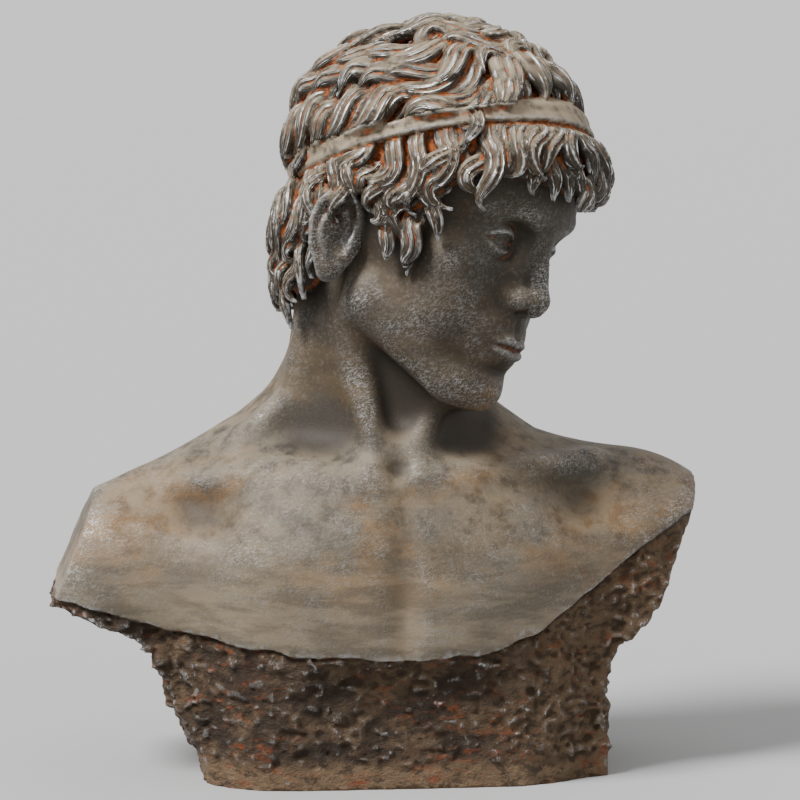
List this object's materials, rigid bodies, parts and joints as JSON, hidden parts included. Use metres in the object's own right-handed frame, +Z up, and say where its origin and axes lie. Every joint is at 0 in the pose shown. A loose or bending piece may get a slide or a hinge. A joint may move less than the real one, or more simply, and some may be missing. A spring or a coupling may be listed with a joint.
{
  "type": "decorative bust",
  "caption": "Life-size garden bust of a youth with curled hair and a hair band, head turned aside, on a rough-hewn block cut flat below.",
  "frame": {"origin": "on the flat underside of the block, under the middle of the head's pivot, where the bust stands on a shelf or pedestal", "axes": "+Z up; -Y is the front of the chest; +X is the viewer's right, towards which the head is turned; the head's band and face look towards +X and -Y"},
  "size_m": [0.4248, 0.2174, 0.4957],
  "materials": {
    "aged_iron_paint": "cast resin and stone powder, painted dark iron grey, silver dry-brushed on the raised edges and rust-stained in the hollows"
  },
  "bodies": {
    "root": {"bust": "aged_iron_paint"}
  },
  "joints": []
}
